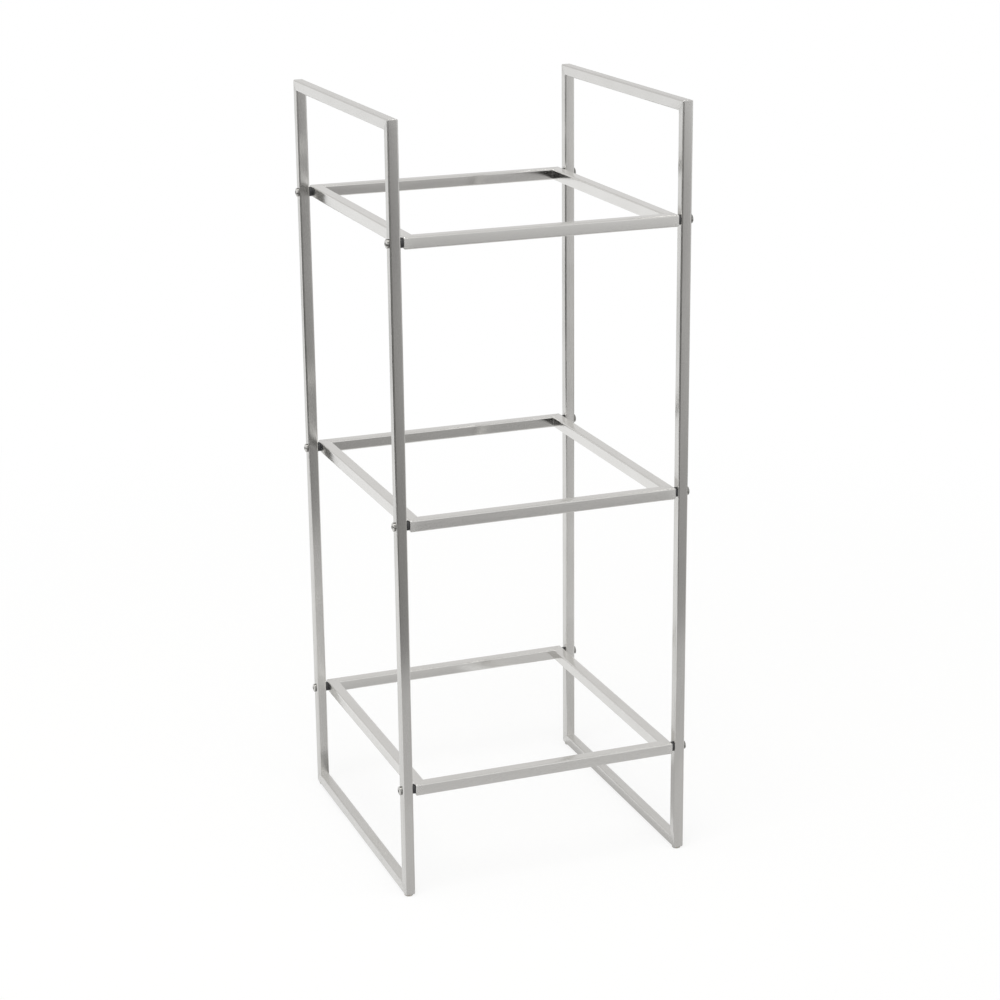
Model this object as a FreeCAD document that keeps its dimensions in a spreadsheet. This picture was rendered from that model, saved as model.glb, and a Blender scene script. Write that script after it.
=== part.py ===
import FreeCAD, Part
import os

import Sketcher
from FreeCAD import Rotation, Vector

# Open three-tier display frame. Two upright hoops of mitred square tube stand side by side, and three open
# shelf frames of slightly thicker tube hang between them, in line with the posts. Each shelf frame is held
# at its four corners by a dome-head screw, which passes through the post and a spacer into a threaded bush
# inside the corner of the frame.
# Millimetres, +Z up. The origin is on the floor, under the middle of the frame, with the front towards -Y.

SIZES = {
    # Over the tubes of the hoops
    "overall_width": 280,
    "hoop_depth": 280,
    "hoop_height": 710,
    # Square tube of the hoops and of the shelf frames
    "hoop_tube": 10,
    "shelf_tube": 11,
    "tube_wall": 1,
    "corner_radius": 1.5,
    "least_radius": 0.2,
    # Screw axes: the bottom shelf's up from the underside of the hoop, the top shelf's down from its top
    "bottom_rise": 103,
    "top_drop": 105,
    # Spacer between post and shelf frame
    "spacer_thickness": 2.5,
    "spacer_diameter": 9,
    # Dome-head screw with a hexagon socket
    "screw_diameter": 4,
    "screw_play": 0.4,
    "head_diameter": 8,
    "head_height": 2.8,
    "head_rim": 1.8,
    "socket_width": 2.5,
    "socket_depth": 1.6,
    "thread_reach": 9,
    # Threaded bush in the corner of a shelf frame
    "bush_length": 12,
    "bush_play": 0.4,
    "thread_play": 0.2,
    # Glide under each corner of the hoops
    "glide_diameter": 8,
    "glide_height": 2,
    "stem_diameter": 4,
    "stem_length": 4,
    "stem_play": 0.2,
    # How far a cut runs past what it cuts
    "cut_margin": 2,
}

# Sizes that follow from the driving ones
SHELF_WIDTH = "(sizes.overall_width - 2 * sizes.hoop_tube - 2 * sizes.spacer_thickness)"
SHELF_DEPTH = "(sizes.hoop_depth - sizes.hoop_tube + sizes.shelf_tube)"
HALF_HOOP_TUBE = "(sizes.hoop_tube / 2)"
HALF_SHELF_TUBE = "(sizes.shelf_tube / 2)"
POST_X = f"(sizes.overall_width / 2 - {HALF_HOOP_TUBE})"
POST_Y = f"(sizes.hoop_depth / 2 - {HALF_HOOP_TUBE})"
BORE_RADIUS = "max(sizes.corner_radius - sizes.tube_wall; sizes.least_radius)"
BUSH_DIAMETER = f"(sizes.shelf_tube - 2 * sizes.tube_wall - 2 * {BORE_RADIUS} - sizes.bush_play)"
SCREW_HOLE = "(sizes.screw_diameter + sizes.screw_play)"
STEM_HOLE = "(sizes.stem_diameter + sizes.stem_play)"
SHELVES = ("bottom", "middle", "top")
LEVEL_PITCH = f"((sizes.hoop_height - sizes.bottom_rise - sizes.top_drop) / {len(SHELVES) - 1})"
LEVEL_RISES = [f"(sizes.bottom_rise + {index} * {LEVEL_PITCH})" for index in range(len(SHELVES))]
LEVEL_HEIGHTS = {name: f"(sizes.glide_height + {rise})" for name, rise in zip(SHELVES, LEVEL_RISES)}

doc = FreeCAD.newDocument("display_frame")
sheet = doc.addObject("Spreadsheet::Sheet", "sizes")
for row, (alias, value) in enumerate(SIZES.items(), start=1):
    sheet.set(f"A{row}", alias)
    sheet.set(f"B{row}", str(value))
    sheet.setAlias(f"B{row}", alias)
doc.recompute()

nodes = []


def new_body(label):
    body = doc.addObject("PartDesign::Body", label)
    body.Label = label
    nodes.append(body)
    return body


def origin_feature(body, role):
    return next(feature for feature in body.Origin.OriginFeatures if feature.Role == role)


def new_sketch(body, name, plane, **offsets):
    """A sketch on one of the body's origin planes, moved by formulas in the sketch's own x, y and z."""
    sketch = body.newObject("Sketcher::SketchObject", name)
    sketch.AttachmentSupport = (origin_feature(body, plane), [""])
    sketch.MapMode = "FlatFace"
    for axis, formula in offsets.items():
        sketch.setExpression(f"AttachmentOffset.Base.{axis}", formula)
    return sketch


def constrain(sketch, *constraint):
    return sketch.addConstraint(Sketcher.Constraint(*constraint))


def dimension(sketch, name, formula, *constraint):
    """A named dimension that follows a formula of the sheet."""
    sketch.renameConstraint(constrain(sketch, *constraint), name)
    sketch.setExpression(f"Constraints.{name}", formula)


def line(sketch, start, end):
    return sketch.addGeometry(Part.LineSegment(Vector(*start, 0), Vector(*end, 0)), False)


def closed_outline(sketch, points):
    """Straight lines round the points, joined end to end. Returns their indices."""
    count = len(points)
    lines = [line(sketch, points[i], points[(i + 1) % count]) for i in range(count)]
    for i in range(count):
        constrain(sketch, "Coincident", lines[i], 2, lines[(i + 1) % count], 1)
    return lines


def circle(sketch, x, y, radius):
    return sketch.addGeometry(Part.Circle(Vector(x, y, 0), Vector(0, 0, 1), radius), False)


def rounded_square(sketch, name, side, radius, side_formula, radius_formula):
    """A square with rounded corners, centred on the sketch's origin."""
    half, flat = side / 2, side / 2 - radius
    ends = [((-flat, -half), (flat, -half)), ((half, -flat), (half, flat)),
            ((flat, half), (-flat, half)), ((-half, flat), (-half, -flat))]
    lines = [line(sketch, start, end) for start, end in ends]
    mid = half - radius + radius * 2 ** -0.5
    middles = [(mid, -mid), (mid, mid), (-mid, mid), (-mid, -mid)]
    arcs = []
    for i, middle in enumerate(middles):
        start, end = ends[i][1], ends[(i + 1) % 4][0]
        arc = Part.Arc(Vector(*start, 0), Vector(*middle, 0), Vector(*end, 0))
        arcs.append(sketch.addGeometry(arc, False))
        constrain(sketch, "Tangent", lines[i], 2, arcs[i], 1)
        constrain(sketch, "Tangent", arcs[i], 2, lines[(i + 1) % 4], 1)
    for i, direction in enumerate(("Horizontal", "Vertical", "Horizontal", "Vertical")):
        constrain(sketch, direction, lines[i])
    for arc in arcs[1:]:
        constrain(sketch, "Equal", arcs[0], arc)
    constrain(sketch, "Symmetric", lines[0], 1, lines[2], 1, -1, 1)
    dimension(sketch, f"{name}_width", side_formula, "DistanceX", lines[3], 1, lines[1], 2, side)
    dimension(sketch, f"{name}_height", side_formula, "DistanceY", lines[0], 1, lines[2], 2, side)
    dimension(sketch, f"{name}_radius", radius_formula, "Radius", arcs[0], radius)


def mitre_ends(body, tube, half_length, half_formula):
    """Cuts both ends of a tube along its x axis at 45 degrees, so that its -Y side stays the long one."""
    half_side, margin = SIZES[tube] / 2, SIZES["cut_margin"]
    far_x, far_y = half_length + margin, half_side + margin
    leg = 2 * far_y
    sketch = new_sketch(body, "mitre_outline", "XY_Plane")
    right = closed_outline(sketch, [(far_x, far_y), (far_x - leg, far_y), (far_x, -far_y)])
    left = closed_outline(sketch, [(-far_x, far_y), (-far_x + leg, far_y), (-far_x, -far_y)])
    constrain(sketch, "Horizontal", right[0])
    constrain(sketch, "Vertical", right[2])
    constrain(sketch, "Equal", right[0], right[2])
    for i in range(3):
        constrain(sketch, "Symmetric", right[i], 1, left[i], 1, -2)
    dimension(sketch, "leg", f"sizes.{tube} + 2 * sizes.cut_margin", "Distance", right[0], leg)
    dimension(sketch, "far_x", f"{half_formula} + sizes.cut_margin", "DistanceX", -1, 1, right[0], 1, far_x)
    dimension(sketch, "far_y", f"sizes.{tube} / 2 + sizes.cut_margin", "DistanceY", -1, 1, right[0], 1, far_y)
    cut = body.newObject("PartDesign::Pocket", "mitres")
    cut.Profile = sketch
    cut.Type = "ThroughAll"
    cut.SideType = "Symmetric"
    body.Tip = cut


def drill_ends(body, tube, half_length, half_formula, hole_formula):
    """One hole near each end, half a tube in, through the wall of the long side only."""
    sketch = new_sketch(body, "end_hole_centres", "XZ_Plane", z=f"sizes.{tube} / 2")
    reach, radius = half_length - SIZES[tube] / 2, SIZES["screw_diameter"] / 2
    right, left = (circle(sketch, x, 0, radius) for x in (reach, -reach))
    constrain(sketch, "PointOnObject", right, 3, -1)
    constrain(sketch, "Symmetric", right, 3, left, 3, -2)
    constrain(sketch, "Equal", right, left)
    dimension(sketch, "reach", f"{half_formula} - sizes.{tube} / 2", "DistanceX", -1, 1, right, 3, reach)
    dimension(sketch, "hole", hole_formula, "Diameter", right, 2 * radius)
    holes = body.newObject("PartDesign::Pocket", "end_holes")
    holes.Profile = sketch
    holes.setExpression("Length", "sizes.tube_wall")
    body.Tip = holes


def drill_levels(body, half_length, half_formula):
    """The three screw holes of a post, straight through both walls, measured from its lower end."""
    sketch = new_sketch(body, "level_hole_centres", "XY_Plane")
    foot = sketch.addGeometry(Part.Point(Vector(-half_length, 0, 0)), True)
    constrain(sketch, "PointOnObject", foot, 1, -1)
    dimension(sketch, "foot", half_formula, "DistanceX", foot, 1, -1, 1, half_length)
    first = None
    pitch = (2 * half_length - SIZES["bottom_rise"] - SIZES["top_drop"]) / (len(SHELVES) - 1)
    for index, rise_formula in enumerate(LEVEL_RISES):
        rise = SIZES["bottom_rise"] + index * pitch
        hole = circle(sketch, rise - half_length, 0, SIZES["screw_diameter"] / 2)
        constrain(sketch, "PointOnObject", hole, 3, -1)
        dimension(sketch, f"rise_{index}", rise_formula, "DistanceX", foot, 1, hole, 3, rise)
        if first is None:
            first = hole
            dimension(sketch, "hole", SCREW_HOLE, "Diameter", hole, SIZES["screw_diameter"])
        else:
            constrain(sketch, "Equal", first, hole)
    holes = body.newObject("PartDesign::Pocket", "level_holes")
    holes.Profile = sketch
    holes.Type = "ThroughAll"
    holes.SideType = "Symmetric"
    body.Tip = holes


def mitred_tube(label, tube, length_formula, x_axis, y_axis, place, end_hole=None, level_holes=False):
    """A square tube with mitred ends, of the named size across its sides.

    Its length lies along x_axis, and its short, inner side faces y_axis."""
    body = new_body(label)
    half_formula = f"({length_formula} / 2)"
    section = new_sketch(body, "section", "YZ_Plane")
    side, wall, radius = SIZES[tube], SIZES["tube_wall"], SIZES["corner_radius"]
    bore_radius = max(radius - wall, SIZES["least_radius"])
    rounded_square(section, "outside", side, radius, f"sizes.{tube}", "sizes.corner_radius")
    rounded_square(section, "bore", side - 2 * wall, bore_radius, f"sizes.{tube} - 2 * sizes.tube_wall",
                   BORE_RADIUS)
    stock = body.newObject("PartDesign::Pad", "tube_stock")
    stock.Profile = section
    stock.SideType = "Symmetric"
    stock.setExpression("Length", f"{length_formula} + sizes.cut_margin")
    body.Tip = stock
    doc.recompute()
    half_length = (stock.Length.Value - SIZES["cut_margin"]) / 2
    mitre_ends(body, tube, half_length, half_formula)
    if end_hole:
        drill_ends(body, tube, half_length, half_formula, end_hole)
    if level_holes:
        drill_levels(body, half_length, half_formula)
    x_axis, y_axis = Vector(*x_axis), Vector(*y_axis)
    body.Placement.Rotation = Rotation(x_axis, y_axis, x_axis.cross(y_axis), "XYZ")
    for axis, formula in zip("xyz", place):
        body.setExpression(f"Placement.Base.{axis}", formula)
    return body


def side_hoop(side, sign):
    """One hoop: two posts, the carrying rail across their tops and the foot rail across their lower ends."""
    hoop_x = f"{sign} * {POST_X}"
    middle_z = "sizes.glide_height + sizes.hoop_height / 2"
    top_z = f"sizes.glide_height + sizes.hoop_height - {HALF_HOOP_TUBE}"
    foot_z = f"sizes.glide_height + {HALF_HOOP_TUBE}"
    for end, inward in (("front", 1), ("back", -1)):
        post_y = f"{-inward} * {POST_Y}"
        mitred_tube(f"{side}_{end}_post", "hoop_tube", "sizes.hoop_height", (0, 0, 1), (0, inward, 0),
                    (hoop_x, post_y, middle_z), level_holes=True)
    mitred_tube(f"{side}_top_rail", "hoop_tube", "sizes.hoop_depth", (0, 1, 0), (0, 0, -1),
                (hoop_x, "0", top_z))
    mitred_tube(f"{side}_foot_rail", "hoop_tube", "sizes.hoop_depth", (0, 1, 0), (0, 0, 1),
                (hoop_x, "0", foot_z), end_hole=STEM_HOLE)


def shelf_frame(name, height):
    """One open shelf frame: front and back rails, and the two side rails that the screws pull against."""
    rail_x = f"({SHELF_WIDTH} / 2 - {HALF_SHELF_TUBE})"
    for end, inward in (("front", 1), ("back", -1)):
        mitred_tube(f"{name}_shelf_{end}_rail", "shelf_tube", SHELF_WIDTH, (inward, 0, 0), (0, inward, 0),
                    ("0", f"{-inward} * {POST_Y}", height))
    for side, inward in (("left", 1), ("right", -1)):
        mitred_tube(f"{name}_shelf_{side}_rail", "shelf_tube", SHELF_DEPTH, (0, -inward, 0), (inward, 0, 0),
                    (f"{-inward} * {rail_x}", "0", height), end_hole=SCREW_HOLE)


def turned(body, sketch, name):
    """Turns the sketch's outline about the sketch's own x axis."""
    solid = body.newObject("PartDesign::Revolution", name)
    solid.Profile = sketch
    solid.ReferenceAxis = (sketch, ["H_Axis"])
    solid.Angle = 360
    body.Tip = solid
    return solid


def repeat_at_joints(body, originals):
    """Copies the piece at the left front corner of the bottom shelf to the other eleven joints."""
    repeat = body.newObject("PartDesign::MultiTransform", "all_joints")
    levels = body.newObject("PartDesign::LinearPattern", "levels")
    levels.Direction = (origin_feature(body, "Z_Axis"), [""])
    levels.Occurrences = len(SHELVES)
    levels.setExpression("Length", f"{len(SHELVES) - 1} * {LEVEL_PITCH}")
    steps = [levels]
    for name, plane in (("front_to_back", "XZ_Plane"), ("left_to_right", "YZ_Plane")):
        mirror = body.newObject("PartDesign::Mirrored", name)
        mirror.MirrorPlane = (origin_feature(body, plane), [""])
        steps.append(mirror)
    repeat.Originals = originals
    repeat.Transformations = steps
    body.Tip = repeat


def joint_sketch(body, name, x_formula):
    """A sketch along the screw axis of the bottom shelf's left front joint, with its x towards the shelf."""
    return new_sketch(body, name, "XZ_Plane", x=x_formula, y=LEVEL_HEIGHTS["bottom"], z=POST_Y)


def ring_outline(sketch, length, outer_radius, inner_radius, length_formula, outer_formula, inner_formula):
    """The half section of a plain ring, from x = 0 along the sketch's x axis."""
    points = [(0, inner_radius), (length, inner_radius), (length, outer_radius), (0, outer_radius)]
    lines = closed_outline(sketch, points)
    for i, direction in enumerate(("Horizontal", "Vertical", "Horizontal", "Vertical")):
        constrain(sketch, direction, lines[i])
    constrain(sketch, "PointOnObject", lines[0], 1, -2)
    dimension(sketch, "length", length_formula, "DistanceX", lines[0], 1, lines[0], 2, length)
    dimension(sketch, "inner", f"{inner_formula} / 2", "DistanceY", -1, 1, lines[0], 1, inner_radius)
    dimension(sketch, "outer", f"{outer_formula} / 2", "DistanceY", -1, 1, lines[2], 1, outer_radius)


def shelf_spacers():
    """Round spacers that keep the shelf frames off the posts, with the screw through the middle."""
    body = new_body("shelf_spacers")
    sketch = joint_sketch(body, "half_section", "-sizes.overall_width / 2 + sizes.hoop_tube")
    ring_outline(sketch, SIZES["spacer_thickness"], SIZES["spacer_diameter"] / 2, SIZES["screw_diameter"] / 2,
                 "sizes.spacer_thickness", "sizes.spacer_diameter", SCREW_HOLE)
    repeat_at_joints(body, [turned(body, sketch, "spacer")])


def corner_bushes():
    """Threaded bushes inside the shelf frames' corners, each against the side rail's outer wall.

    A bush is narrower than the flat of that wall, so it seats clear of the bore's rounded corners."""
    body = new_body("corner_bushes")
    sketch = joint_sketch(body, "half_section", f"-{SHELF_WIDTH} / 2 + sizes.tube_wall")
    bush_radius = SIZES["shelf_tube"] / 2 - SIZES["tube_wall"]
    ring_outline(sketch, SIZES["bush_length"], bush_radius, SIZES["screw_diameter"] / 2,
                 "sizes.bush_length", BUSH_DIAMETER, "(sizes.screw_diameter + sizes.thread_play)")
    repeat_at_joints(body, [turned(body, sketch, "bush")])


def screw_outline(sketch):
    """Half a screw, with the underside of its head at x = 0 and its dome towards -x."""
    reach = SIZES["hoop_tube"] + SIZES["spacer_thickness"] + SIZES["tube_wall"] + SIZES["thread_reach"]
    shank, head = SIZES["screw_diameter"] / 2, SIZES["head_diameter"] / 2
    rim, top = SIZES["head_rim"], SIZES["head_height"]
    corners = [(-top, 0), (reach, 0), (reach, shank), (0, shank), (0, head), (-rim, head)]
    lines = [line(sketch, corners[i], corners[i + 1]) for i in range(len(corners) - 1)]
    for i in range(len(lines) - 1):
        constrain(sketch, "Coincident", lines[i], 2, lines[i + 1], 1)
    dome_height = top - rim
    dome_radius = (head ** 2 + dome_height ** 2) / (2 * dome_height)
    centre_x = dome_radius - top
    slant = ((-rim - top) / 2, head / 2)
    stretch = dome_radius / ((slant[0] - centre_x) ** 2 + slant[1] ** 2) ** 0.5
    on_dome = Vector(centre_x + (slant[0] - centre_x) * stretch, slant[1] * stretch, 0)
    dome = sketch.addGeometry(Part.Arc(Vector(-rim, head, 0), on_dome, Vector(-top, 0, 0)), False)
    # The arc may run either way round, so its ends are told apart by where they lie.
    start, end = (1, 2) if sketch.getPoint(dome, 1).y > sketch.getPoint(dome, 2).y else (2, 1)
    constrain(sketch, "Coincident", lines[-1], 2, dome, start)
    constrain(sketch, "Coincident", dome, end, lines[0], 1)
    constrain(sketch, "PointOnObject", dome, 3, -1)
    constrain(sketch, "PointOnObject", lines[0], 1, -1)
    for i, direction in enumerate(("Horizontal", "Vertical", "Horizontal", "Vertical", "Horizontal")):
        constrain(sketch, direction, lines[i])
    constrain(sketch, "PointOnObject", lines[3], 1, -2)
    reach_formula = "sizes.hoop_tube + sizes.spacer_thickness + sizes.tube_wall + sizes.thread_reach"
    dimension(sketch, "reach", reach_formula, "DistanceX", -1, 1, lines[0], 2, reach)
    dimension(sketch, "shank", "sizes.screw_diameter / 2", "DistanceY", lines[1], 1, lines[1], 2, shank)
    dimension(sketch, "head", "sizes.head_diameter / 2", "DistanceY", -1, 1, lines[3], 2, head)
    dimension(sketch, "rim", "sizes.head_rim", "DistanceX", lines[4], 2, -1, 1, rim)
    dimension(sketch, "top", "sizes.head_height", "DistanceX", lines[0], 1, -1, 1, top)


def hexagon(sketch, width, width_formula):
    """A regular hexagon about the sketch's origin, given across its flats."""
    corner = width / 3 ** 0.5
    places = [Rotation(Vector(0, 0, 1), 60 * i).multVec(Vector(corner, 0, 0)) for i in range(6)]
    lines = closed_outline(sketch, [(place.x, place.y) for place in places])
    ring = sketch.addGeometry(Part.Circle(Vector(0, 0, 0), Vector(0, 0, 1), corner), True)
    constrain(sketch, "Coincident", ring, 3, -1, 1)
    for side in lines:
        constrain(sketch, "PointOnObject", side, 1, ring)
    for side in lines[1:]:
        constrain(sketch, "Equal", lines[0], side)
    constrain(sketch, "PointOnObject", lines[0], 1, -1)
    dimension(sketch, "ring", f"2 * {width_formula} / sqrt(3)", "Diameter", ring, 2 * corner)


def shelf_screws():
    """Dome-head screws, seated on the outer faces of the posts and running into the corner bushes."""
    body = new_body("shelf_screws")
    outline = joint_sketch(body, "half_section", "-sizes.overall_width / 2")
    screw_outline(outline)
    screw = turned(body, outline, "screw")
    socket_sketch = new_sketch(body, "socket_outline", "YZ_Plane", x=f"-{POST_Y}", y=LEVEL_HEIGHTS["bottom"],
                               z="-sizes.overall_width / 2 - sizes.head_height")
    hexagon(socket_sketch, SIZES["socket_width"], "sizes.socket_width")
    socket = body.newObject("PartDesign::Pocket", "socket")
    socket.Profile = socket_sketch
    socket.Reversed = True
    socket.setExpression("Length", "sizes.socket_depth")
    body.Tip = socket
    repeat_at_joints(body, [screw, socket])


def corner_glide(label, x_sign, y_sign):
    """A nylon glide under one corner of a hoop: a disc on the floor and a stem pressed up into the tube."""
    body = new_body(label)
    sketch = new_sketch(body, "half_section", "YZ_Plane", x=f"{y_sign} * {POST_Y}", z=f"{x_sign} * {POST_X}")
    disc, stem = SIZES["glide_diameter"] / 2, SIZES["stem_diameter"] / 2
    seat, tip = SIZES["glide_height"], SIZES["glide_height"] + SIZES["stem_length"]
    points = [(0, 0), (disc, 0), (disc, seat), (stem, seat), (stem, tip), (0, tip)]
    lines = closed_outline(sketch, points)
    for i, direction in enumerate(("Horizontal", "Vertical") * 3):
        constrain(sketch, direction, lines[i])
    constrain(sketch, "Coincident", lines[0], 1, -1, 1)
    dimension(sketch, "disc", "sizes.glide_diameter / 2", "DistanceX", lines[0], 1, lines[0], 2, disc)
    dimension(sketch, "stem", "sizes.stem_diameter / 2", "DistanceX", lines[4], 2, lines[4], 1, stem)
    dimension(sketch, "seat", "sizes.glide_height", "DistanceY", lines[1], 1, lines[1], 2, seat)
    dimension(sketch, "tip", "sizes.stem_length", "DistanceY", lines[3], 1, lines[3], 2, tip - seat)
    solid = body.newObject("PartDesign::Revolution", "glide")
    solid.Profile = sketch
    solid.ReferenceAxis = (sketch, ["V_Axis"])
    solid.Angle = 360
    body.Tip = solid


for side, sign in (("left", -1), ("right", 1)):
    side_hoop(side, sign)
for name, height in LEVEL_HEIGHTS.items():
    shelf_frame(name, height)
shelf_spacers()
corner_bushes()
shelf_screws()
for side, x_sign in (("left", -1), ("right", 1)):
    for end, y_sign in (("front", -1), ("back", 1)):
        corner_glide(f"{side}_{end}_glide", x_sign, y_sign)

doc.recompute()
failed = [obj.Name for obj in doc.Objects if "Invalid" in obj.State or "Error" in obj.State]
if failed:
    raise RuntimeError(f"these objects failed: {failed}")
for node in nodes:
    if node.Shape.isNull() or not node.Shape.isValid():
        raise RuntimeError(f"{node.Label} has no valid shape")

os.makedirs("parts", exist_ok=True)
for node in nodes:
    node.Shape.exportStep(f"parts/{node.Label}.step")
    box = node.Shape.BoundBox
    print(f"{node.Label}: {len(node.Shape.Solids)} solids, {node.Shape.Volume:.1f} mm3,"
          f" x {box.XMin:.2f} {box.XMax:.2f}, y {box.YMin:.2f} {box.YMax:.2f},"
          f" z {box.ZMin:.2f} {box.ZMax:.2f}")
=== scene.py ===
"""Three-tier display frame of polished square tube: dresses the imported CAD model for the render."""

import math

import bpy
from mathutils import Matrix, Vector


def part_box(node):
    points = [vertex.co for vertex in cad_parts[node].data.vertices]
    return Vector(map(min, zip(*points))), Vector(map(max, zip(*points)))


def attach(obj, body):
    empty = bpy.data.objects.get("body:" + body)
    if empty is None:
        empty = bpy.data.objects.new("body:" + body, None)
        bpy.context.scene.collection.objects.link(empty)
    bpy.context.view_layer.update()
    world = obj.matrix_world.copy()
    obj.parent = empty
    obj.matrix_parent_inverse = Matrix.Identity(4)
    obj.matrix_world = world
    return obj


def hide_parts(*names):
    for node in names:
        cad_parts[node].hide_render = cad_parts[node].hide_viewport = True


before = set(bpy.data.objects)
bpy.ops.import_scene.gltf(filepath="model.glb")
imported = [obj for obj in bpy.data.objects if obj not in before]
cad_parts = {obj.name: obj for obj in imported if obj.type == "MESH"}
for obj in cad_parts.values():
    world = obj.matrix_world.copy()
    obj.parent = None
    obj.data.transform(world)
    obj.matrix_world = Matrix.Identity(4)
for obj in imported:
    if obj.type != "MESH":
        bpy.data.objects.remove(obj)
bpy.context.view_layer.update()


# Side hoops
# Each of the two hoops is four lengths of square stainless steel tube, cut at 45 degrees and welded.
# The welds are ground flush, and the hoop is then polished along its tubes.

MM = 0.001
RIGHT, BACK, UP = Vector((1, 0, 0)), Vector((0, 1, 0)), Vector((0, 0, 1))
QUARTER_TURN = math.radians(90)
MITRE = math.radians(45)
TUBE_WALL = 1.0 * MM
TUBE_CORNER = 1.5 * MM  # outside radius of the drawn tube
TUBE_CROWN = math.radians(1.5)  # how far a face of the tube bulges, as its slope beside a corner
WELD_OUTSIDE = 0.6 * MM  # radius that grinding leaves on the outside of a mitred corner
WELD_INSIDE = 0.15 * MM  # radius of the weld inside the corner
SEAM_DEPTH = 0.12 * MM  # groove that stays along a ground mitre
DRESSED_FULLY = 1.5 * MM  # hand dressing covers this much beside a mitre
DRESSED_REACH = 7 * MM  # and has faded out here
CORNER_STEPS = 6
PATTERN_SHIFT = 7  # sets the lines of one tube off from those of the next
STEEL, STEEL_CLOUDED = "#e1e0de", "#d8d7d4"

# Width and length of each mark. Real polishing lines and scratches are some ten times finer:
# these are drawn as coarse as they need to be to show.
LINE = (0.6 * MM, 70 * MM)
SCRATCH = (0.7 * MM, 9 * MM)
SCRATCH_SLANT = math.radians(35)
PATCH = (14 * MM, 45 * MM)


def linear(colour):
    """The linear colour, with alpha, of an sRGB hex value."""
    parts = [int(colour[i : i + 2], 16) / 255 for i in (1, 3, 5)]
    return (*(p / 12.92 if p <= 0.04045 else ((p + 0.055) / 1.055) ** 2.4 for p in parts), 1.0)


def add_node(tree, kind, inputs=(), **settings):
    """Adds a node with its settings, and sets or links the inputs that are named or numbered."""
    made = tree.nodes.new("ShaderNode" + kind)
    for name, value in settings.items():
        setattr(made, name, value)
    for name, value in dict(inputs).items():
        if isinstance(value, bpy.types.NodeSocket):
            tree.links.new(value, made.inputs[name])
        else:
            made.inputs[name].default_value = value
    return made


def new_material(name):
    """An empty material, its node tree and its output node."""
    material = bpy.data.materials.new(name)
    material.use_nodes = True
    material.node_tree.nodes.clear()
    return material, material.node_tree, add_node(material.node_tree, "OutputMaterial")


def new_piece(mesh, material, place=(0, 0, 0), spin=0):
    """An object for a mesh, with its material, its place and its turn about Z."""
    mesh.materials.append(material)
    piece = bpy.data.objects.new(mesh.name, mesh)
    bpy.context.collection.objects.link(piece)
    piece.location = place
    piece.rotation_euler.z = spin
    return piece


# Stainless steel, belt-polished lengthwise: a clear reflection that is drawn out across fine lines,
# with finger-wide cloudy patches, and cross-hatched hand dressing over each welded mitre.
steel, tree, output = new_material("stainless_steel_belt_polished")
run = add_node(tree, "UVMap", uv_map="tube_run").outputs["UV"]
line_place = add_node(tree, "Mapping", {"Vector": run, "Scale": (1 / LINE[0], 1 / LINE[1], 1)})
lines = add_node(
    tree,
    "TexNoise",
    {"Vector": line_place.outputs[0], "Scale": 1, "Detail": 3, "Roughness": 0.6},
)
patch_place = add_node(tree, "Mapping", {"Vector": run, "Scale": (1 / PATCH[0], 1 / PATCH[1], 1)})
patches = add_node(tree, "TexNoise", {"Vector": patch_place.outputs[0], "Scale": 1, "Detail": 2})
scratch_place = add_node(
    tree,
    "Mapping",
    {
        "Vector": run,
        "Rotation": (0, 0, SCRATCH_SLANT),
        "Scale": (1 / SCRATCH[0], 1 / SCRATCH[1], 1),
    },
)
scratches = add_node(tree, "TexNoise", {"Vector": scratch_place.outputs[0], "Scale": 1, "Detail": 2})
mitre_distance = add_node(tree, "Attribute", attribute_name="mitre_distance").outputs["Fac"]
dressed = add_node(
    tree,
    "MapRange",
    {
        "Value": mitre_distance,
        "From Min": DRESSED_FULLY,
        "From Max": DRESSED_REACH,
        "To Min": 1,
        "To Max": 0,
    },
    interpolation_type="SMOOTHSTEP",
).outputs[0]
lines_rough = add_node(
    tree,
    "MapRange",
    {"Value": lines.outputs[0], "From Min": 0.3, "From Max": 0.7, "To Min": 0.17, "To Max": 0.23},
)
patches_rough = add_node(
    tree,
    "MapRange",
    {"Value": patches.outputs[0], "From Min": 0.35, "From Max": 0.75, "To Min": 0, "To Max": 0.05},
)
rough = add_node(tree, "Math", {0: lines_rough.outputs[0], 1: patches_rough.outputs[0]}, operation="ADD")
rough = add_node(tree, "Math", {0: dressed, 1: 0.06, 2: rough.outputs[0]}, operation="MULTIPLY_ADD")
colour = add_node(
    tree,
    "Mix",
    {0: patches.outputs[0], 6: linear(STEEL), 7: linear(STEEL_CLOUDED)},
    data_type="RGBA",
)
lines_height = add_node(
    tree,
    "Bump",
    {"Height": lines.outputs[0], "Strength": 1, "Distance": 0.004 * MM},
)
scratches_height = add_node(
    tree,
    "Bump",
    {
        "Height": scratches.outputs[0],
        "Strength": dressed,
        "Distance": 0.01 * MM,
        "Normal": lines_height.outputs[0],
    },
)
round_tube = add_node(tree, "Tangent", direction_type="UV_MAP", uv_map="tube_run")
surface = add_node(
    tree,
    "BsdfPrincipled",
    {
        "Base Color": colour.outputs[2],
        "Metallic": 1.0,
        "Roughness": rough.outputs[0],
        "Anisotropic": 0.85,
        "Tangent": round_tube.outputs[0],
        "Normal": scratches_height.outputs[0],
    },
)
tree.links.new(surface.outputs[0], output.inputs["Surface"])


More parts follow.
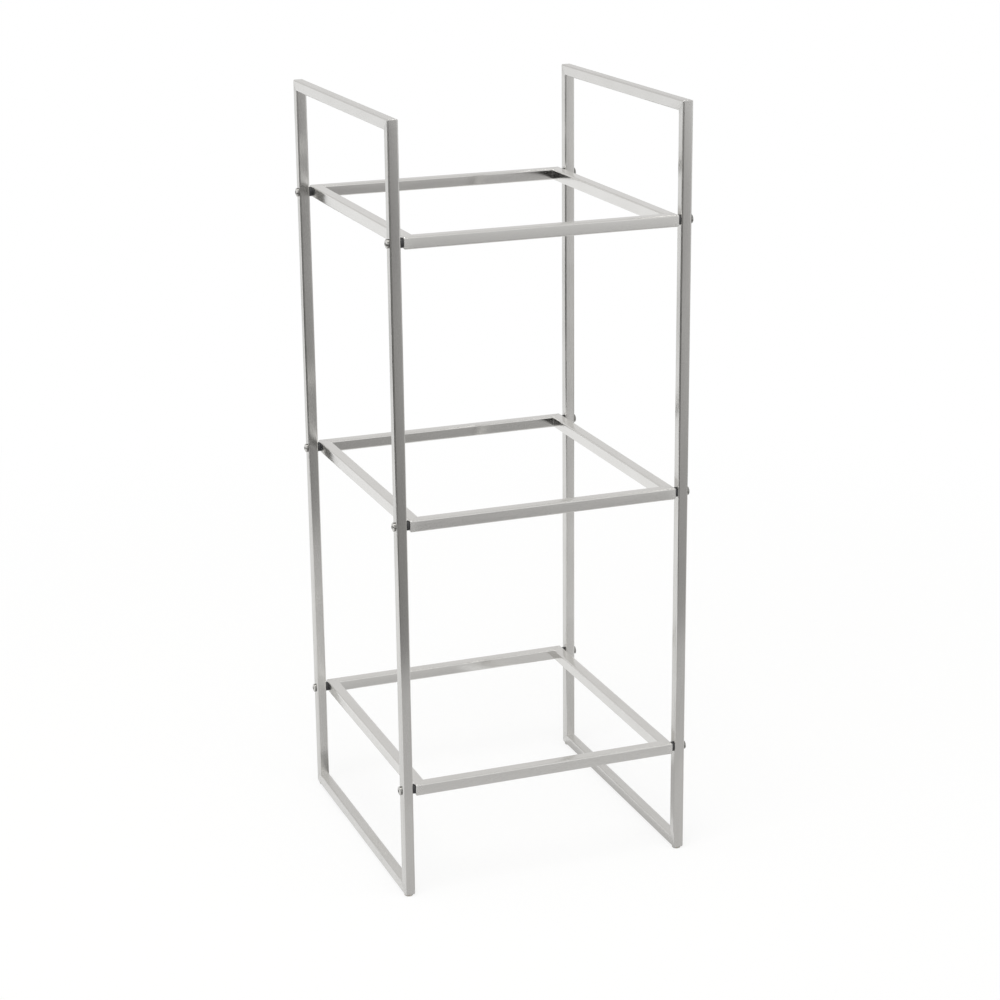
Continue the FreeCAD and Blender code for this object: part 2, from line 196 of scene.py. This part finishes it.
def mitred_tube(node, along, inward, material):
    """A hollow tube of a welded frame in the place of its CAD node, with both ends cut at 45 degrees.

    along runs with the tube, and inward points from the frame's outside to its middle."""
    low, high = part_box(node)
    across = along.cross(inward)
    half = abs((high - low).dot(along)) / 2
    side = abs((high - low).dot(inward))
    outer_middle = (low + high) / 2 - inward * side / 2

    # The section starts at the middle of the outer face.
    # Each point is the centre of its corner radius and the way the surface faces there.
    bulge = math.sin(TUBE_CROWN) + 1 - math.cos(TUBE_CROWN)
    face_radius = (side / 2 + TUBE_CORNER * (math.sin(TUBE_CROWN) - math.cos(TUBE_CROWN))) / bulge
    corner_centre = (face_radius - TUBE_CORNER) * math.sin(TUBE_CROWN)
    section = []
    for quarter in range(4):
        face_turn = QUARTER_TURN * quarter
        facing = Vector((-math.cos(face_turn), math.sin(face_turn)))
        next_facing = Vector((math.sin(face_turn), math.cos(face_turn)))
        section.append((facing * (side / 2 - TUBE_CORNER), facing))
        for step in range(CORNER_STEPS + 1):
            corner_turn = TUBE_CROWN + (QUARTER_TURN - 2 * TUBE_CROWN) * step / CORNER_STEPS
            normal = facing * math.cos(corner_turn) + next_facing * math.sin(corner_turn)
            section.append(((facing + next_facing) * corner_centre, normal))
    outline = [centre + normal * TUBE_CORNER for centre, normal in section]
    around = [0]
    for k, point in enumerate(outline):
        around.append(around[-1] + (outline[(k + 1) % len(outline)] - point).length)

    # Each station along the tube is its share of the way to an end, how far the surface has
    # turned into the ground mitre, and how deep it lies under the skin. The last four are the bore.
    end = [
        (MITRE, SEAM_DEPTH),
        (MITRE - SEAM_DEPTH / WELD_OUTSIDE, 0),
        (MITRE * 2 / 3, 0),
        (MITRE / 3, 0),
        (0, 0),
    ]
    stations = [(-1, turn, inset) for turn, inset in end]
    stations += [(reach, 0, 0) for reach in (-0.5, 0, 0.5)]
    stations += [(1, turn, inset) for turn, inset in reversed(end)]
    stations += [(1, MITRE, TUBE_WALL), (1, 0, TUBE_WALL), (-1, 0, TUBE_WALL), (-1, MITRE, TUBE_WALL)]

    points, normals, distances, outsides, runs = [], [], [], [], []
    for reach, turn, inset in stations:
        to_end = (reach > 0) - (reach < 0)
        for column, (centre, (normal_in, normal_across)) in enumerate(section):
            depth = side / 2 + centre.x + (TUBE_CORNER - inset) * normal_in
            weld = WELD_OUTSIDE + (WELD_INSIDE - WELD_OUTSIDE) * depth / side
            at_along = reach * (half - depth - weld) + to_end * weld * math.sin(turn)
            at_inward = depth + weld * (1 - math.cos(turn))
            at_across = centre.y + (TUBE_CORNER - inset) * normal_across
            points.append(outer_middle + along * at_along + inward * at_inward + across * at_across)

            facing = inward * normal_in * math.cos(turn) - along * to_end * normal_in * math.sin(turn)
            facing += across * normal_across * (math.sin(turn) + math.cos(turn))
            facing.normalize()
            if inset == SEAM_DEPTH:
                facing = (facing + along * to_end).normalized()
            normals.append(-facing if inset == TUBE_WALL else facing)

            # The hand dressing does not reach the faces inside the frame, so they count as far off.
            mitre_off = (half - at_inward - abs(at_along)) / math.sqrt(2)
            distances.append(mitre_off + DRESSED_REACH * max(0, normal_in))
            outsides.append(max(0, -normal_in))
            pattern_start = outer_middle.dot(along) + outer_middle.length * PATTERN_SHIFT
            runs.append((around[column], at_along + pattern_start))

    columns = len(section)
    faces, face_runs, face_normals = [], [], []
    for row, (reach, turn, _) in enumerate(stations):
        next_row = (row + 1) % len(stations)
        is_cut = turn == stations[next_row][1] == MITRE
        cut_normal = (along * reach + inward).normalized()
        for column in range(columns):
            next_column = (column + 1) % columns
            corners = [(row, column), (next_row, column), (next_row, next_column), (row, next_column)]
            faces.append([r * columns + k for r, k in corners])
            for r, k in corners:
                u, v = runs[r * columns + k]
                face_runs += (u + (around[-1] if k < column else 0), v)
                face_normals.append(cut_normal if is_cut else normals[r * columns + k])

    mesh = bpy.data.meshes.new(node + "_tube")
    mesh.from_pydata(points, [], faces)
    mesh.shade_smooth()
    mesh.attributes.new("mitre_distance", "FLOAT", "POINT").data.foreach_set("value", distances)
    mesh.attributes.new("outside", "FLOAT", "POINT").data.foreach_set("value", outsides)
    mesh.uv_layers.new(name="tube_run").data.foreach_set("uv", face_runs)
    mesh.normals_split_custom_set(face_normals)
    piece = new_piece(mesh, material)
    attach(piece, "root")
    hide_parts(node)


for hand in ("left", "right"):
    mitred_tube(hand + "_front_post", UP, BACK, steel)
    mitred_tube(hand + "_back_post", UP, -BACK, steel)
    mitred_tube(hand + "_top_rail", BACK, -UP, steel)
    mitred_tube(hand + "_foot_rail", BACK, UP, steel)


# Shelf frames
# Three flat frames of slightly thicker tube, also mitred, welded and polished, hang between the hoops.
# They are open in the middle, and stand clear of the posts by the thickness of a spacer.

SHELF_STEEL, SHELF_STEEL_CLOUDED = "#ebeae8", "#e2e1de"

# Stainless steel, fine belt-polished: the same lines from a finer belt, so that it mirrors more clearly.
# Only the outside of the welded frame is belted again, which draws its reflections further out.
shelf_steel = steel.copy()
shelf_steel.name = "stainless_steel_fine_belt_polished"
tree = shelf_steel.node_tree
outside = add_node(tree, "Attribute", attribute_name="outside").outputs["Fac"]
smoothest = add_node(tree, "MapRange", {"Value": outside, "To Min": 0.095, "To Max": 0.185})
roughest = add_node(tree, "MapRange", {"Value": outside, "To Min": 0.13, "To Max": 0.225})
drawn_out = add_node(tree, "MapRange", {"Value": outside, "To Min": 0.8, "To Max": 0.96})
tree.links.new(smoothest.outputs[0], tree.nodes[lines_rough.name].inputs["To Min"])
tree.links.new(roughest.outputs[0], tree.nodes[lines_rough.name].inputs["To Max"])
tree.links.new(drawn_out.outputs[0], tree.nodes[surface.name].inputs["Anisotropic"])
tree.nodes[patches_rough.name].inputs["To Max"].default_value = 0.03
tree.nodes[colour.name].inputs[6].default_value = linear(SHELF_STEEL)
tree.nodes[colour.name].inputs[7].default_value = linear(SHELF_STEEL_CLOUDED)

for level in ("bottom", "middle", "top"):
    mitred_tube(level + "_shelf_front_rail", RIGHT, BACK, shelf_steel)
    mitred_tube(level + "_shelf_back_rail", RIGHT, -BACK, shelf_steel)
    mitred_tube(level + "_shelf_left_rail", BACK, RIGHT, shelf_steel)
    mitred_tube(level + "_shelf_right_rail", BACK, -RIGHT, shelf_steel)


# Corner bushes
# A threaded bush sits in each corner of a shelf frame, inside the tube, and takes the screw.
# It is turned from steel bar, and keeps its CAD shape because the tube hides it.

BUSH_STEEL = "#9c9a97"
TURNING_PITCH = 0.4 * MM  # real rings lie closer: these are as coarse as they need to be to show

# Free-cutting steel, turned: a dull grey with fine rings round the bar.
bush_steel, tree, output = new_material("steel_turned")
place = add_node(tree, "TexCoord").outputs["Object"]
rings = add_node(
    tree,
    "TexWave",
    {"Vector": place, "Scale": math.tau / 20 / TURNING_PITCH, "Distortion": 0.4},
    wave_type="BANDS",
    bands_direction="X",
)
rough = add_node(tree, "MapRange", {"Value": rings.outputs["Fac"], "To Min": 0.3, "To Max": 0.42})
height = add_node(tree, "Bump", {"Height": rings.outputs["Fac"], "Distance": 0.01 * MM})
surface = add_node(
    tree,
    "BsdfPrincipled",
    {
        "Base Color": linear(BUSH_STEEL),
        "Metallic": 1.0,
        "Roughness": rough.outputs[0],
        "Normal": height.outputs[0],
    },
)
tree.links.new(surface.outputs[0], output.inputs["Surface"])
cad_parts["corner_bushes"].data.materials[0] = bush_steel


# Spacers
# A round black washer on each screw keeps the shelf frame off the post.
# It is moulded in nylon, with softened rims, and is clamped by the screw.

SPACER_BORE = 2.2 * MM
SPACER_SOFTENED = 0.35 * MM
LATHE_STEPS = 48
SHARP_EDGE = math.radians(35)  # edges that turn by more than this stay crisp
BLACK, BLACK_CLOUDED = "#262627", "#38383a"
SPARK_GRAIN = 0.25 * MM  # of the mould's texture, drawn coarser than it is so that it shows
SPACER_CLOUD = 3 * MM

joints = []
for level in ("bottom", "middle", "top"):
    for hand, outward in (("left", -RIGHT), ("right", RIGHT)):
        rail_low, rail_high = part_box(f"{level}_shelf_{hand}_rail")
        rail_face = max(abs(rail_low.x), abs(rail_high.x))
        for end in ("front", "back"):
            post_low, post_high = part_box(f"{hand}_{end}_post")
            post_middle = (post_low + post_high) / 2
            axis = Vector((0, post_middle.y, (rail_low.z + rail_high.z) / 2))
            joints.append((f"{level}_{hand}_{end}", outward, rail_face, axis))

post_low, post_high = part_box("right_front_post")
spacer_low, spacer_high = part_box("shelf_spacers")
top_rail_low, top_rail_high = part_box("top_shelf_left_rail")
spacer_radius = spacer_high.z - (top_rail_low.z + top_rail_high.z) / 2


def turned(name, rows, closed=True):
    """A mesh of rings about the X axis. Each row holds the ring's (x, y, z) points in order."""
    points = [point for row in rows for point in row]
    count = len(rows[0])
    faces = []
    for row in range(len(rows) if closed else len(rows) - 1):
        next_row = (row + 1) % len(rows)
        for k in range(count):
            j = (k + 1) % count
            faces.append((row * count + k, row * count + j, next_row * count + j, next_row * count + k))
    if not closed:
        faces.append(tuple(reversed(range(count))))
        faces.append(tuple(range((len(rows) - 1) * count, len(rows) * count)))
    mesh = bpy.data.meshes.new(name)
    mesh.from_pydata(points, [], faces)
    mesh.shade_smooth()
    mesh.set_sharp_from_angle(angle=SHARP_EDGE)
    return mesh


def ring(x, radius):
    """The points of a round ring about the X axis."""
    turns = [math.tau * k / LATHE_STEPS for k in range(LATHE_STEPS)]
    return [(x, radius * math.cos(turn), radius * math.sin(turn)) for turn in turns]


def softened_rim(face, radius, soft, steps, into):
    """The (x, radius) points of a rounded rim, from its flat face to its full radius.

    into is 1 or -1, the way along X from the face into the piece."""
    turns = [QUARTER_TURN * step / steps for step in range(steps + 1)]
    return [
        (face + into * soft * (1 - math.cos(turn)), radius - soft * (1 - math.sin(turn)))
        for turn in turns
    ]


# Nylon, injection-moulded black: a satin skin with a fine spark-eroded texture, faintly clouded.
black_nylon, tree, output = new_material("nylon_moulded_black")
place = add_node(tree, "TexCoord").outputs["Object"]
texture = add_node(tree, "TexNoise", {"Vector": place, "Scale": 1 / SPARK_GRAIN, "Detail": 3})
cloud = add_node(tree, "TexNoise", {"Vector": place, "Scale": 1 / SPACER_CLOUD, "Detail": 2})
colour = add_node(
    tree,
    "Mix",
    {0: cloud.outputs[0], 6: linear(BLACK), 7: linear(BLACK_CLOUDED)},
    data_type="RGBA",
)
rough = add_node(tree, "MapRange", {"Value": texture.outputs[0], "To Min": 0.42, "To Max": 0.6})
height = add_node(tree, "Bump", {"Height": texture.outputs[0], "Strength": 0.6, "Distance": 0.02 * MM})
surface = add_node(
    tree,
    "BsdfPrincipled",
    {
        "Base Color": colour.outputs[2],
        "Roughness": rough.outputs[0],
        "IOR": 1.53,
        "Normal": height.outputs[0],
    },
)
tree.links.new(surface.outputs[0], output.inputs["Surface"])

for name, outward, rail_face, axis in joints:
    thickness = post_low.x - rail_face
    outline = [(0, SPACER_BORE)]
    outline += softened_rim(0, spacer_radius, SPACER_SOFTENED, 3, 1)
    outline += reversed(softened_rim(thickness, spacer_radius, SPACER_SOFTENED, 3, -1))
    outline += [(thickness, SPACER_BORE)]
    mesh = turned(name + "_spacer", [ring(x, radius) for x, radius in outline])
    spin = 0 if outward.x > 0 else math.pi
    piece = new_piece(mesh, black_nylon, outward * rail_face + axis, spin)
    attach(piece, "root")
    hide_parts("shelf_spacers")


# Screws
# A dome-head socket screw goes through each post and its spacer into a bush in the shelf frame.
# It is cold-headed from steel and bright nickel-plated, and its head is left with a hexagon socket.

HEAD_RADIUS = 4.0 * MM
HEAD_RIM = 1.8 * MM
HEAD_RISE = 2.8 * MM  # of the whole dome, before the socket is pressed
HEAD_EDGE = 0.15 * MM  # chamfer under the head
DOME_EDGE = 0.1 * MM  # how far below the dome the side of the rim ends
DOME_STEPS = 8
SOCKET_FLAT = 1.25 * MM  # middle to flat
SOCKET_DEPTH = 1.6 * MM
SOCKET_MOUTH = 1.56 * MM
SOCKET_EDGE = 0.12 * MM  # chamfer at the mouth
SOCKET_POINT = 0.3 * MM  # how much deeper the punch goes in the middle
PUNCH_TIP = 0.2 * MM
SHANK_RADIUS = 2.0 * MM
SHANK_CHAMFER = 0.5 * MM
THREAD_REACH = 9.0 * MM
SCREW_TURN = math.radians(37)  # each screw stops at another angle
RIM_SHADE_EDGE = 0.3 * MM  # width over which the painted shade on the rim gives way to the bright dome
NICKEL, NICKEL_CLOUDED, NICKEL_RIM_SHADE = "#dad9d6", "#c6c5c2", "#969592"
RIPPLE = 1.2 * MM
PLATING_GRAIN = 0.2 * MM  # drawn coarser than it is, so that it shows

# Steel, nickel-plated: a bright dome with soft ripples. The rim and shank below it are painted darker, as
# painted shade.
nickel, tree, output = new_material("steel_nickel_plated")
place = add_node(tree, "TexCoord").outputs["Object"]
ripple = add_node(tree, "TexNoise", {"Vector": place, "Scale": 1 / RIPPLE, "Detail": 2})
grit = add_node(tree, "TexNoise", {"Vector": place, "Scale": 1 / PLATING_GRAIN, "Detail": 2})
along_head = add_node(tree, "SeparateXYZ", {0: place}).outputs["X"]
# Painted shade: the colour darkens below the dome, over the rim and the shank.
unshaded_dome = add_node(
    tree,
    "MapRange",
    {"Value": along_head, "From Min": HEAD_RIM - RIM_SHADE_EDGE, "From Max": HEAD_RIM},
)
rough = add_node(tree, "MapRange", {"Value": grit.outputs[0], "To Min": 0.12, "To Max": 0.24})
bright = add_node(
    tree,
    "Mix",
    {0: ripple.outputs[0], 6: linear(NICKEL), 7: linear(NICKEL_CLOUDED)},
    data_type="RGBA",
)
colour = add_node(
    tree,
    "Mix",
    {0: unshaded_dome.outputs[0], 6: linear(NICKEL_RIM_SHADE), 7: bright.outputs[2]},
    data_type="RGBA",
)
height = add_node(tree, "Bump", {"Height": ripple.outputs[0], "Strength": 0.3, "Distance": 0.02 * MM})
surface = add_node(
    tree,
    "BsdfPrincipled",
    {
        "Base Color": colour.outputs[2],
        "Metallic": 1.0,
        "Roughness": rough.outputs[0],
        "Normal": height.outputs[0],
    },
)
tree.links.new(surface.outputs[0], output.inputs["Surface"])


def hexagon(x, flat):
    """The points of a hexagonal ring about the X axis, as many as on a round ring."""
    points = []
    for k in range(LATHE_STEPS):
        turn = math.tau * k / LATHE_STEPS
        radius = flat / math.cos((turn + math.pi / 6) % (math.pi / 3) - math.pi / 6)
        points.append((x, radius * math.cos(turn), radius * math.sin(turn)))
    return points


dome_rise = HEAD_RISE - HEAD_RIM
dome_radius = (HEAD_RADIUS**2 + dome_rise**2) / (2 * dome_rise)
dome_centre = HEAD_RISE - dome_radius
socket_floor = HEAD_RISE - SOCKET_DEPTH

for number, (name, outward, rail_face, axis) in enumerate(joints):
    shank = post_high.x - rail_face + THREAD_REACH
    rows = [
        ring(-shank, SHANK_RADIUS - SHANK_CHAMFER),
        ring(-shank + SHANK_CHAMFER, SHANK_RADIUS),
        ring(0, SHANK_RADIUS),
        ring(0, HEAD_RADIUS - HEAD_EDGE),
        ring(HEAD_EDGE, HEAD_RADIUS),
        ring(HEAD_RIM - DOME_EDGE, HEAD_RADIUS),
    ]
    for step in range(1, DOME_STEPS + 1):
        radius = HEAD_RADIUS + (SOCKET_MOUTH - HEAD_RADIUS) * step / DOME_STEPS
        mouth = dome_centre + math.sqrt(dome_radius**2 - radius**2)
        rows.append(ring(mouth, radius))
    rows += [
        hexagon(mouth - SOCKET_EDGE, SOCKET_FLAT),
        hexagon(socket_floor, SOCKET_FLAT),
        ring(socket_floor - SOCKET_POINT, PUNCH_TIP),
    ]
    mesh = turned(name + "_screw", rows, closed=False)
    mesh.transform(Matrix.Rotation(number * SCREW_TURN, 4, "X"))
    spin = 0 if outward.x > 0 else math.pi
    piece = new_piece(mesh, nickel, outward * post_high.x + axis, spin)
    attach(piece, "root")
    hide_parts("shelf_screws")


# Glides
# A pale nylon button under each corner of a hoop keeps the steel off the table.
# It is moulded with a short stem, and is pressed into a hole in the foot rail.

GLIDE_SOFTENED = 0.7 * MM
GLIDE_SHOULDER = 0.35 * MM
GLIDE_GATE = 0.5 * MM  # ring round the gate mark in the middle of the underside
STEM_RADIUS = 2.0 * MM
STEM_CHAMFER = 0.6 * MM
NATURAL, SCUFFED = "#cfccc4", "#a5a29b"
SCUFF = 1.5 * MM
MOULD_GRAIN = 0.3 * MM  # drawn coarser than it is, so that it shows

# Nylon, injection-moulded natural: a milky satin white, scuffed grey where it slides.
pale_nylon, tree, output = new_material("nylon_moulded_natural")
place = add_node(tree, "TexCoord").outputs["Object"]
scuff = add_node(tree, "TexNoise", {"Vector": place, "Scale": 1 / SCUFF, "Detail": 4})
texture = add_node(tree, "TexNoise", {"Vector": place, "Scale": 1 / MOULD_GRAIN, "Detail": 2})
colour = add_node(
    tree,
    "Mix",
    {0: scuff.outputs[0], 6: linear(NATURAL), 7: linear(SCUFFED)},
    data_type="RGBA",
)
rough = add_node(tree, "MapRange", {"Value": texture.outputs[0], "To Min": 0.4, "To Max": 0.6})
height = add_node(tree, "Bump", {"Height": texture.outputs[0], "Strength": 0.5, "Distance": 0.02 * MM})
surface = add_node(
    tree,
    "BsdfPrincipled",
    {
        "Base Color": colour.outputs[2],
        "Roughness": rough.outputs[0],
        "IOR": 1.53,
        "Subsurface Weight": 0.15,
        "Subsurface Scale": 1 * MM,
        "Normal": height.outputs[0],
    },
)
tree.links.new(surface.outputs[0], output.inputs["Surface"])

foot_low, foot_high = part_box("left_foot_rail")
for hand in ("left", "right"):
    for end in ("front", "back"):
        node = f"{hand}_{end}_glide"
        low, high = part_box(node)
        radius = (high.x - low.x) / 2
        seat = foot_low.z - low.z
        stem_top = high.z - low.z
        outline = [(0, GLIDE_GATE)]
        outline += softened_rim(0, radius, GLIDE_SOFTENED, 3, 1)
        outline += reversed(softened_rim(seat, radius, GLIDE_SHOULDER, 2, -1))
        outline += [
            (seat, STEM_RADIUS),
            (stem_top - STEM_CHAMFER, STEM_RADIUS),
            (stem_top, STEM_RADIUS - STEM_CHAMFER),
        ]
        mesh = turned(node + "_button", [ring(x, r) for x, r in outline], closed=False)
        mesh.transform(Matrix.Rotation(-QUARTER_TURN, 4, "Y"))
        piece = new_piece(mesh, pale_nylon, ((low.x + high.x) / 2, (low.y + high.y) / 2, low.z))
        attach(piece, "root")
        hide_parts(node)


# Floor and studio
# The frame stands on white paper, under one large soft lamp. The paper keeps a faint shadow.
# Glowing cards that only the polished faces see stand for the rest of the studio: a darker floor round the
# paper, a pale ceiling and back wall, and the dark strip below the camera. They light nothing: what the
# steel shows of them is painted reflection.

PAPER = "#f4f4f2"
PAPER_REACH = 20.0
SHADOW_SHARE = 0.2  # how much of its shading the paper shows near the frame
SHADOW_NEAR, SHADOW_FAR = 0.5, 1.5  # distances between which that share fades out
MIRRORED_NEAR, MIRRORED_FAR = 0.3, 0.8  # distances between which the paper seen by polished faces grows brighter, out of its painted shade
MIRRORED_LOW, MIRRORED_HIGH = 0.85, 0.92
CARD_HEIGHT = 0.001
STRIP_HEIGHT = 0.006  # over the cards that the dark strip crosses
CEILING = 2.9
WALL = 6.8
CAMERA_STRIP = "#1c1b1a"
FILL_LIGHT = 0.75
LAMP_SIDE, LAMP_POWER = 1.6, 30
LAMP_PLACE, LAMP_AIM = Vector((-0.5, -0.6, 2.6)), Vector((0, 0, 0.3))


def sheet(name, low, high, lean=0):
    """A flat sheet between two corners, lying or standing along X. lean moves its far edge along X."""
    (x0, y0, z0), (x1, y1, z1) = low, high
    mesh = bpy.data.meshes.new(name)
    corners = [(x0, y0, z0), (x1, y0, z0), (x1 + lean, y1, z1), (x0 + lean, y1, z1)]
    mesh.from_pydata(corners, [], [(0, 1, 2, 3)])
    piece = bpy.data.objects.new(name, mesh)
    bpy.context.collection.objects.link(piece)
    return piece


def seen(tree):
    """Is 1 where the camera, a mirror or a clear body looks, and 0 for scattered light."""
    path = add_node(tree, "LightPath").outputs
    either = add_node(
        tree, "Math", {0: path["Is Camera Ray"], 1: path["Is Glossy Ray"]}, operation="MAXIMUM"
    )
    return add_node(
        tree, "Math", {0: either.outputs[0], 1: path["Is Transmission Ray"]}, operation="MAXIMUM"
    ).outputs[0]


# Paper, matt white: it shows as plain white, with a faint shadow near the frame. To polished faces it
# shows a little dimmer near the frame, which is painted shade.
paper, tree, output = new_material("paper_matt_white")
place = add_node(tree, "TexCoord").outputs["Object"]
away = add_node(tree, "VectorMath", {0: place}, operation="LENGTH").outputs["Value"]
share = add_node(
    tree,
    "MapRange",
    {
        "Value": away,
        "From Min": SHADOW_NEAR,
        "From Max": SHADOW_FAR,
        "To Min": 1 - SHADOW_SHARE,
        "To Max": 1,
    },
    interpolation_type="SMOOTHSTEP",
)
plain = add_node(tree, "Math", {0: seen(tree), 1: share.outputs[0]}, operation="MULTIPLY")
matt = add_node(tree, "BsdfDiffuse", {"Color": linear(PAPER), "Roughness": 1})
# Painted shade: polished faces see the paper dimmer near the frame, brightening further out.
paper_shade_in_mirrors = add_node(
    tree,
    "MapRange",
    {
        "Value": away,
        "From Min": MIRRORED_NEAR,
        "From Max": MIRRORED_FAR,
        "To Min": MIRRORED_LOW,
        "To Max": MIRRORED_HIGH,
    },
)
to_camera = add_node(tree, "LightPath").outputs["Is Camera Ray"]
glow = add_node(tree, "Math", {0: paper_shade_in_mirrors.outputs[0], 1: to_camera}, operation="MAXIMUM")
white = add_node(tree, "Emission", {"Color": (1, 1, 1, 1), "Strength": glow.outputs[0]})
mixed = add_node(tree, "MixShader", {0: plain.outputs[0], 1: matt.outputs[0], 2: white.outputs[0]})
tree.links.new(mixed.outputs[0], output.inputs["Surface"])
floor = sheet("floor", (-PAPER_REACH, -PAPER_REACH, 0), (PAPER_REACH, PAPER_REACH, 0))
floor.data.materials.append(paper)


def painted_reflection_card(name, low, high, west, east, lean=0):
    """A glowing card that only polished faces see, which paints its tone into their reflections. Its tone
    runs from west, at its left, to east, at its right.
    """
    card = sheet(name, low, high, lean)
    # Card, glowing grey: a set tone that is darker than the paper, shown only as painted reflection.
    material, tree, output = new_material(name + "_painted_reflection_tone")
    place = add_node(tree, "TexCoord").outputs["Object"]
    x = add_node(tree, "SeparateXYZ", {0: place}).outputs["X"]
    shade = add_node(tree, "MapRange", {"Value": x, "From Min": low[0], "From Max": high[0]})
    colour = add_node(
        tree,
        "Mix",
        {0: shade.outputs[0], 6: linear(west), 7: linear(east)},
        data_type="RGBA",
    )
    glow = add_node(tree, "Emission", {"Color": colour.outputs[2], "Strength": 1})
    tree.links.new(glow.outputs[0], output.inputs["Surface"])
    card.data.materials.append(material)
    card.visible_camera = False
    card.visible_diffuse = False
    card.visible_shadow = False


def floor_painted_reflection(name, low, high, west, east):
    """A glowing card of painted reflection that lies on the floor, between two (x, y) corners."""
    painted_reflection_card(name, (*low, CARD_HEIGHT), (*high, CARD_HEIGHT), west, east)


# Painted shade of the floor in front, seen only in reflections: it falls off into a dark studio, and is
# paler to the right.
floor_painted_reflection("front_card", (-0.55, -2.6), (2.6, -0.68), "#6b6a68", "#e9e8e7")
floor_painted_reflection("far_front_card", (-0.55, -18.0), (2.6, -2.6), "#595756", "#c8c7c6")
floor_painted_reflection("front_left_card", (-6.0, -18.0), (-0.55, -0.68), "#8a8987", "#8a8987")
# Painted floor tones at the sides, seen only in reflections, give the edges of the posts their dark and
# their paler lines.
floor_painted_reflection("left_card", (-6.0, -0.68), (-1.24, 1.9), "#51504e", "#51504e")
floor_painted_reflection("right_card", (1.2, -0.68), (7.0, 4.0), "#a8a7a6", "#a8a7a6")
# Painted shade of the paper close to and under the frame, seen only in reflections, shows in the lower
# ends of the posts.
floor_painted_reflection("near_shade_card", (-0.14, -0.68), (1.2, -0.33), "#c0bfbe", "#cbcac9")
floor_painted_reflection("nearest_shade_card", (-0.14, -0.33), (1.2, -0.14), "#cac9c8", "#d2d1d0")
floor_painted_reflection("middle_shade_card", (-0.12, -0.14), (0.10, 0.05), "#c0bfbe", "#c0bfbe")
floor_painted_reflection("left_back_shade_card", (-0.14, 0.05), (-0.07, 0.14), "#6f6e6c", "#c0bfbe")
floor_painted_reflection("right_back_shade_card", (0.12, -0.14), (0.30, 0.14), "#c8c7c6", "#d0cfce")
# A glowing pale card beside the frame paints a lighter reflection into the right back post; it lights
# nothing.
painted_reflection_card("right_painted_reflection", (0.178, -0.02, 0.08), (0.235, -0.02, 0.72), "#dad9d8", "#dad9d8")
# Upper faces mirror the ceiling and the back wall.
painted_reflection_card("ceiling_card", (-5.0, -5.0, CEILING), (5.0, WALL, CEILING), "#dcdbda", "#dcdbda")
painted_reflection_card("back_card", (-5.0, WALL, 0.9), (7.0, WALL, CEILING), "#e0dfde", "#e0dfde")
# The inner corners of the shelf frames send the view back to the dark strip below the camera: glowing dark
# sheets that paint dark reflections into those corners.
painted_reflection_card("camera_wall", (-2.05, -4.6, 0.0), (-1.45, -4.6, 1.3), CAMERA_STRIP, CAMERA_STRIP)
painted_reflection_card(
    "camera_card",
    (-1.97, -4.6, STRIP_HEIGHT),
    (-1.53, -0.8, STRIP_HEIGHT),
    CAMERA_STRIP,
    CAMERA_STRIP,
    lean=1.51,
)

world = bpy.data.worlds.new("studio")
world.use_nodes = True
tree = world.node_tree
tree.nodes.clear()
fill = add_node(tree, "Background", {"Color": (1, 1, 1, 1), "Strength": FILL_LIGHT})
white = add_node(tree, "Background", {"Color": (1, 1, 1, 1), "Strength": 1})
mixed = add_node(tree, "MixShader", {0: seen(tree), 1: fill.outputs[0], 2: white.outputs[0]})
add_node(tree, "OutputWorld", {"Surface": mixed.outputs[0]})
bpy.context.scene.world = world

lamp_data = bpy.data.lights.new("overhead_softbox", "AREA")
lamp_data.shape = "RECTANGLE"
lamp_data.size, lamp_data.size_y = LAMP_SIDE, LAMP_SIDE
lamp_data.energy = LAMP_POWER
lamp = bpy.data.objects.new("overhead_softbox", lamp_data)
bpy.context.collection.objects.link(lamp)
lamp.location = LAMP_PLACE
lamp.rotation_euler = (LAMP_AIM - LAMP_PLACE).to_track_quat("-Z", "Y").to_euler()


# Camera
# It stands to the left of the frame and a little above it, as in the photograph.

CAMERA_LENS = 86.34
CAMERA_PLACE = (-0.7563, -2.0337, 1.0031)
CAMERA_HEADING, CAMERA_TILT, CAMERA_ROLL = (math.radians(d) for d in (-20.63, 72.64, -0.59))

camera_data = bpy.data.cameras.new("camera")
camera_data.lens = CAMERA_LENS
camera = bpy.data.objects.new("camera", camera_data)
bpy.context.collection.objects.link(camera)
turn = Matrix.Rotation(CAMERA_HEADING, 4, "Z") @ Matrix.Rotation(CAMERA_TILT, 4, "X")
turn @= Matrix.Rotation(CAMERA_ROLL, 4, "Z")
camera.matrix_world = Matrix.Translation(CAMERA_PLACE) @ turn
bpy.context.scene.camera = camera
bpy.context.scene.view_settings.view_transform = "Standard"
